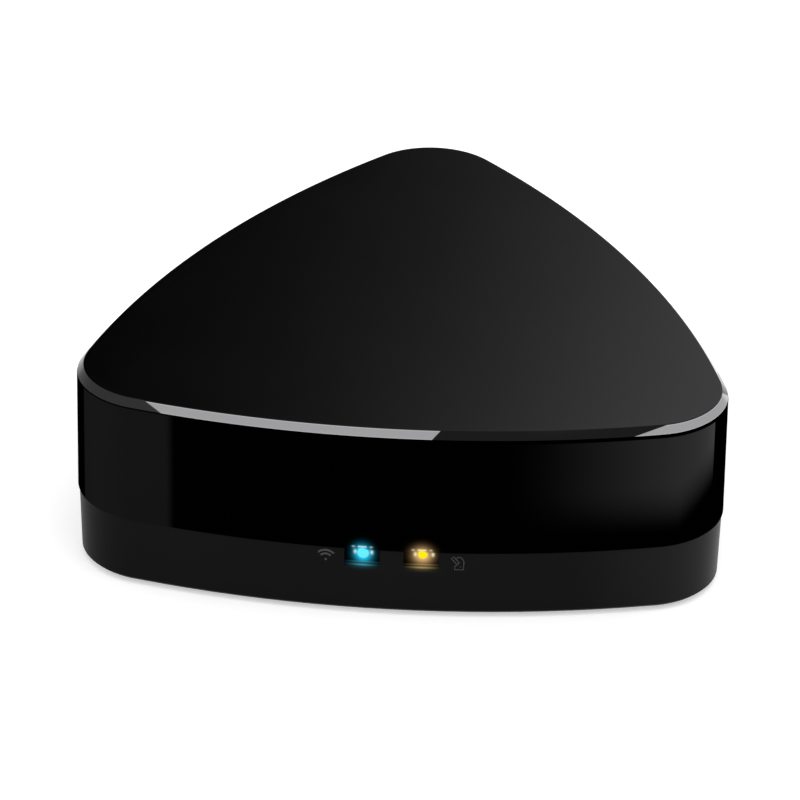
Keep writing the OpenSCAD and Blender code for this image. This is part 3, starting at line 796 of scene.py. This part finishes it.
def status_pane(name, sign):
    """Smoked pane behind a notch of the rim, curved as the front is."""
    low = Z_RIM - PANE_DROP
    bm = bmesh.new()
    rings = []
    for n in range(PANE_STEPS + 1):
        x = sign * STATUS_X + PANE_W * (n / PANE_STEPS - 0.5)
        near, far = front_y(x, LIP_INSET), front_y(x, LIP_INSET + LIP_T)
        corners = [(x, near, low), (x, near, Z_RIM), (x, far, Z_RIM), (x, far, low)]
        rings.append([bm.verts.new(p) for p in corners])
    for one, two in zip(rings, rings[1:]):
        for k in range(4):
            bm.faces.new((one[k], one[(k + 1) % 4], two[(k + 1) % 4], two[k]))
    bm.faces.new(rings[0])
    bm.faces.new(reversed(rings[-1]))
    bmesh.ops.recalc_face_normals(bm, faces=bm.faces)
    mesh = mesh_of(name, bm)
    smooth_mesh(mesh)
    mesh = modified(mesh, [("BEVEL", {"width": PANE_EDGE, "segments": 2}), KEEP_FLATS])
    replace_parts(show(name, mesh, pane_finish(name, LAMPS[name])), "window_shell")


def printed(name, place, strokes, material):
    """Thin printed strokes on the base's front. Each has its points, across and up from the mark's
    place, a width or one for each point, and whether it closes."""
    bm = bmesh.new()
    base_h = Z_RIM - BASE_LOW.z
    for points, width, closed in strokes:
        path = [Vector(p) for p in points]
        count = len(path)
        widths = width if isinstance(width, list) else [width] * count
        pairs = []
        for n, point in enumerate(path):
            before = path[n - 1] if n or closed else path[0]
            after = path[(n + 1) % count] if n < count - 1 or closed else path[-1]
            way = (after - before).normalized()
            side = Vector((-way.y, way.x)) * widths[n] / 2
            pair = []
            for p in (point + side, point - side):
                x, z = place[0] + p.x, place[1] + p.y
                inset = BASE_INSET_RIM + BASE_INSET_DRAFT * (Z_RIM - z) / base_h - PRINT_PROUD
                pair.append(bm.verts.new((x, front_y(x, inset), z)))
            pairs.append(pair)
        ends = zip(pairs, pairs[1:] + pairs[:1]) if closed else zip(pairs, pairs[1:])
        for one, two in ends:
            bm.faces.new((one[0], two[0], two[1], one[1]))
    bmesh.ops.recalc_face_normals(bm, faces=bm.faces)
    for face in bm.faces:
        if face.normal.y > 0:
            face.normal_flip()
    mesh = modified(mesh_of(name, bm), [("SOLIDIFY", {"thickness": PRINT_PROUD, "offset": -1.0})])
    show(name, mesh, material)


def wave(radius):
    """The points of an arc of the wireless sign."""
    start, end = WAVE_ANGLES
    turns = [math.radians(start + (end - start) * n / ARC_STEPS) for n in range(ARC_STEPS + 1)]
    return [(radius * math.cos(turn), radius * math.sin(turn) - WAVE_DROP) for turn in turns]


def pictograms():
    """Generic marks: a wireless symbol by the one lamp, a hand-held remote by the other."""
    ink = moulded("grey_print", (0.024, 0.024, 0.025), (0.031, 0.031, 0.032), 0.55)
    waves = [(wave(radius), WAVE_W, False) for radius in WAVE_RADII]
    dot = ([(0, height) for height in DOT_HEIGHTS], DOT_WIDTHS, False)
    printed("wireless_mark", WIRELESS_PLACE, waves + [dot], ink)
    outlines = [([(x * REMOTE_SIZE, z * REMOTE_SIZE) for x, z in shares], REMOTE_W, True)
                for shares in (SLEEVE_SHARES, HANDSET_SHARES)]
    x, z = BUTTON_PLACE
    button = ([(x, z), (x + BUTTON_L, z)], BUTTON_W, False)
    printed("remote_mark", REMOTE_PLACE, outlines + [button], ink)


def dress(node, material):
    """Gives a carried-over node its finish."""
    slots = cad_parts[node].data.materials
    slots.clear()
    slots.append(material)


def inner_finishes():
    """Finishes of the feet and of every piece inside."""
    rubber = moulded("foot_rubber", (0.010, 0.010, 0.010), (0.016, 0.016, 0.016), 0.75, 1500)
    steel = moulded("zinc_plated_steel", (0.42, 0.43, 0.45), (0.55, 0.56, 0.58), 0.30, Metallic=1.0)
    tin = moulded("tinned_sheet", (0.55, 0.56, 0.57), (0.66, 0.67, 0.68), 0.26, Metallic=1.0)
    can = moulded("drawn_aluminium", (0.62, 0.63, 0.64), (0.72, 0.73, 0.74), 0.22, Metallic=1.0)
    board = moulded("green_laminate", (0.010, 0.085, 0.035), (0.015, 0.11, 0.05), 0.38)
    radio = moulded("blue_laminate", (0.008, 0.014, 0.045), (0.012, 0.02, 0.06), 0.38)
    resin = moulded("moulded_resin", (0.012, 0.012, 0.013), (0.020, 0.020, 0.021), 0.55)
    nylon = moulded("black_nylon", (0.014, 0.014, 0.015), (0.022, 0.022, 0.023), 0.45)
    ferrite = moulded("sintered_ferrite", (0.03, 0.03, 0.032), (0.05, 0.05, 0.052), 0.62)
    glaze = moulded("glazed_ceramic", (0.03, 0.031, 0.034), (0.045, 0.046, 0.05), 0.30)
    gold = moulded("gold_flash", (0.62, 0.42, 0.14), (0.72, 0.50, 0.18), 0.25, Metallic=1.0)
    acetal = moulded("white_acetal", (0.62, 0.58, 0.48), (0.72, 0.68, 0.58), 0.40)
    ceramic = moulded("lamp_ceramic", (0.70, 0.66, 0.52), (0.80, 0.76, 0.62), 0.35)
    epoxy = moulded("tinted_epoxy", (0.24, 0.29, 0.44), (0.30, 0.36, 0.52), 0.12,
                    Transmission_Weight=0.6)
    sheet = moulded("bonding_sheet", (0.006, 0.006, 0.006), (0.010, 0.010, 0.010), 0.85)
    dressed = {
        rubber: ["foot_rear", "foot_left", "foot_right"],
        steel: ["case_screws", "board_screws"],
        tin: ["wifi_shield", "usb_socket_shell", "reset_switch_cover"],
        can: ["crystal", "bulk_capacitor"],
        board: ["main_board"],
        radio: ["wifi_board"],
        resin: ["controller_chip", "regulator_chip", "emitter_transistors", "ir_receiver"],
        nylon: ["usb_socket_insert", "reset_switch_body"],
        ferrite: ["power_inductor"],
        glaze: ["chip_resistors"],
        gold: ["usb_contacts"],
        acetal: ["reset_plunger"],
        ceramic: ["status_led_network", "status_led_remote"],
        epoxy: [f"ir_emitter_{n}" for n in range(1, 7)],
        sheet: ["plate_adhesive"],
    }
    for material, nodes in dressed.items():
        for node in nodes:
            dress(node, material)


def camera():
    """A camera at the photograph's place and viewing angle."""
    back = Vector((math.sin(AZIMUTH) * math.cos(ELEVATION), -math.cos(AZIMUTH) * math.cos(ELEVATION),
                   math.sin(ELEVATION)))
    level = Vector((math.cos(AZIMUTH), math.sin(AZIMUTH), 0))
    upright = back.cross(level)
    right = level * math.cos(ROLL) + upright * math.sin(ROLL)
    up = upright * math.cos(ROLL) - level * math.sin(ROLL)
    data = bpy.data.cameras.new("camera")
    data.lens = LENS_MM
    data.sensor_width = SENSOR_MM
    data.shift_x, data.shift_y = FRAME_SHIFT
    eye = bpy.data.objects.new("camera", data)
    eye.matrix_world = Matrix.Translation(EYE) @ Matrix((right, up, back)).transposed().to_4x4()
    bpy.context.scene.collection.objects.link(eye)
    bpy.context.scene.camera = eye


def softbox():
    """A square lamp of a plain radiance above the hub, to its front right, that faces it."""
    data = bpy.data.lights.new("softbox", "AREA")
    data.shape = "SQUARE"
    data.size = SOFTBOX_SIDE
    data.energy = SOFTBOX_RADIANCE * math.pi * SOFTBOX_SIDE ** 2
    lamp = bpy.data.objects.new("softbox", data)
    aim = (-SOFTBOX_PLACE).to_track_quat("-Z", "Y").to_matrix().to_4x4()
    lamp.matrix_world = Matrix.Translation(SOFTBOX_PLACE) @ aim
    lamp.visible_camera = False
    bpy.context.scene.collection.objects.link(lamp)


def floor_finish():
    """A pale matt floor that keeps the hub's shadow, and looks a little paler seen or mirrored."""
    def build(graph):
        cloud = graph.noise(graph.place()[0], scale=3, detail=2)
        return {"Base Color": graph.mix(cloud, (0.90, 0.90, 0.90), (0.92, 0.92, 0.92)),
                "Roughness": 0.9}
    material = finish_of("pale_floor", build, Specular_IOR_Level=0.0)
    graph = Graph(material.node_tree)
    shown = graph.add("ShaderNodeLightPath", out="Is Camera Ray")
    path = shown.socket.node
    for ray in ("Is Glossy Ray", "Is Transmission Ray"):
        shown = shown.math("MAXIMUM", Value(graph, path.outputs[ray]))
    white = graph.add("ShaderNodeEmission", values={"Strength": shown * FLOOR_LIFT})
    plain = Value(graph, material.node_tree.nodes["Principled BSDF"].outputs["BSDF"])
    both = graph.add("ShaderNodeAddShader", values={0: plain, 1: white})
    graph.feed(both, material.node_tree.nodes["Material Output"].inputs["Surface"])
    return material


def floor():
    """The floor that the hub stands on."""
    bm = bmesh.new()
    bmesh.ops.create_grid(bm, x_segments=1, y_segments=1, size=FLOOR_HALF)
    mesh = mesh_of("floor", bm)
    ground = bpy.data.objects.new("floor", mesh)
    bpy.context.scene.collection.objects.link(ground)
    mesh.materials.append(floor_finish())


def sky():
    """A pale studio all round, with a dark flag behind the hub whose right edge fades out."""
    world = bpy.data.worlds.new("studio")
    bpy.context.scene.world = world
    world.use_nodes = True
    graph = Graph(world.node_tree)
    x, y, up = graph.split(graph.add("ShaderNodeTexCoord", out="Generated"))
    left = (x * -1).math("ARCTAN2", y) * math.degrees(1)
    flag = (graph.ramp(left, *FLAG_RIGHT) * graph.ramp(left, *FLAG_LEFT)
            * graph.ramp(up, *FLAG_FOOT) * graph.ramp(up, *FLAG_TOP))
    fade = FADE_START - FADE_DEGREE * left + FADE_UP * (up - FADE_HEIGHT)
    fade = fade.math("MAXIMUM", FADE_LEAST).math("MINIMUM", 1) ** FADE_POWER
    pale = (PALE_SKY,) * 3
    shade = graph.mix(flag, pale, graph.mix(fade, BLACK, pale))
    graph.feed(shade, world.node_tree.nodes["Background"].inputs["Color"])


SWEEP = sweep_tree()
screw_towers(window_band())
plate()
base()
status_pane("status_pane_network", -1)
status_pane("status_pane_remote", 1)
pictograms()
inner_finishes()
camera()
softbox()
sky()
floor()
bpy.context.scene.view_settings.view_transform = "Standard"
